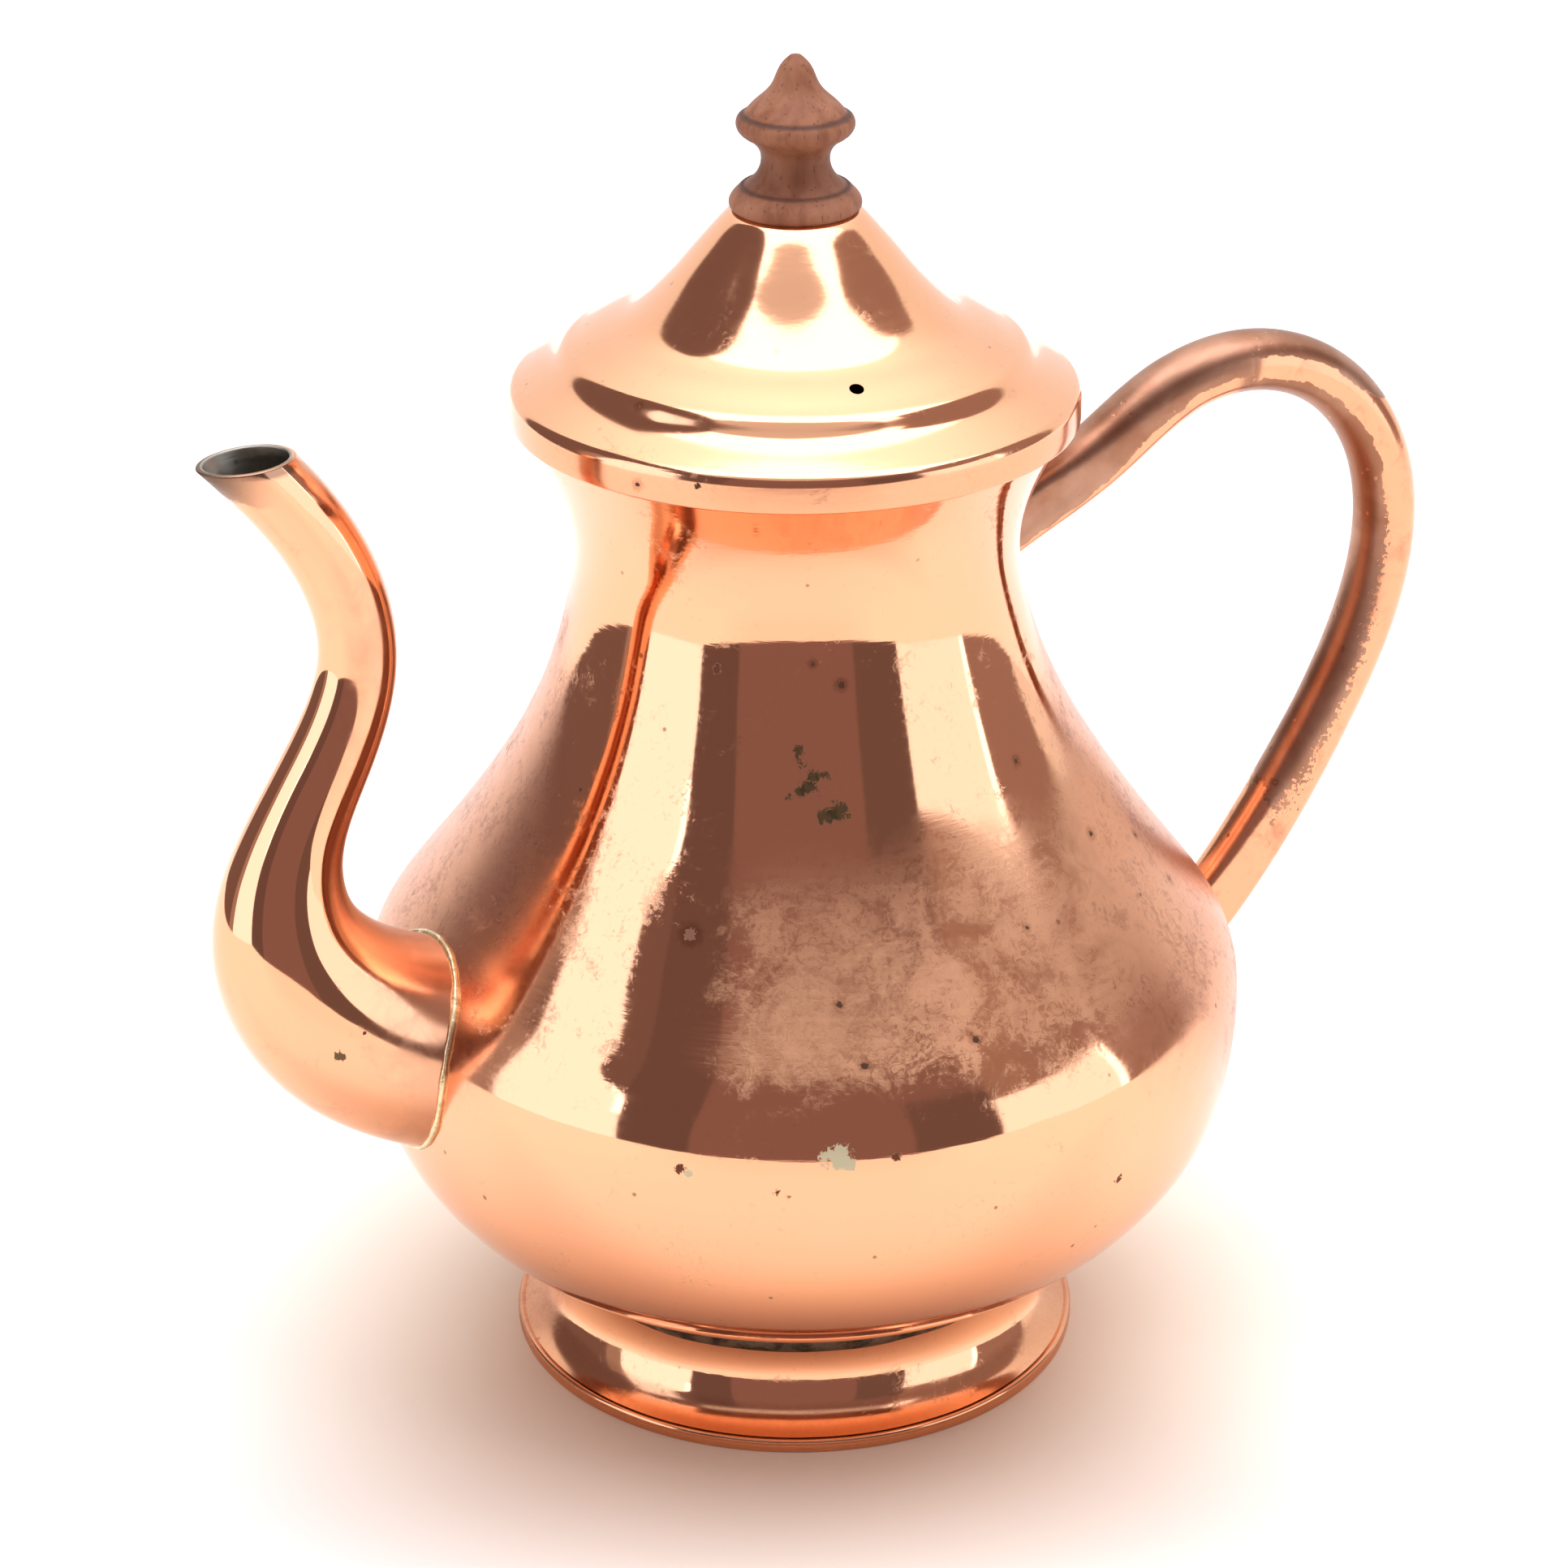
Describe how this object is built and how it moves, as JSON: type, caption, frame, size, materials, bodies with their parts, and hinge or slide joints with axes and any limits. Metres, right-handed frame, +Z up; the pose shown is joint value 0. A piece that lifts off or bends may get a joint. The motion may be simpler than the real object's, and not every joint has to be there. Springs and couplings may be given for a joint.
{
  "type": "coffee pot",
  "caption": "Pear-shaped copper coffee pot with a curved spout, looped tube handle, flared foot ring and a lift-off domed lid with a turned wooden finial.",
  "frame": {"origin": "middle of the foot ring's resting face", "axes": "+Z up along the pot's axis, the spout points along -X, the handle is on +X, Y is across the pot"},
  "size_m": [0.2449, 0.164, 0.25],
  "materials": {
    "copper": "polished copper with light tarnish",
    "tinned_copper": "wiped tin lining, satin",
    "brass_solder": "hard solder, dull",
    "grey_solder": "soft solder, oxidised",
    "walnut": "turned walnut, worn oil finish",
    "screw_steel": "plain steel"
  },
  "bodies": {
    "pot": {"body_shell": "copper", "foot_ring": "copper", "foot_solder": "grey_solder", "spout": "copper", "spout_solder": "brass_solder", "handle": "copper", "handle_upper_solder": "brass_solder", "handle_lower_solder": "brass_solder"},
    "lid": {"lid_shell": "copper", "lid_bezel": "tinned_copper", "lid_bezel_solder": "grey_solder", "finial": "walnut", "finial_screw": "screw_steel", "finial_washer": "screw_steel"}
  },
  "joints": [
    {"name": "lid_lift", "type": "slide", "parent": "pot", "child": "lid", "axis": [0, 0, 1], "range_m": [0, 0.07]}
  ]
}
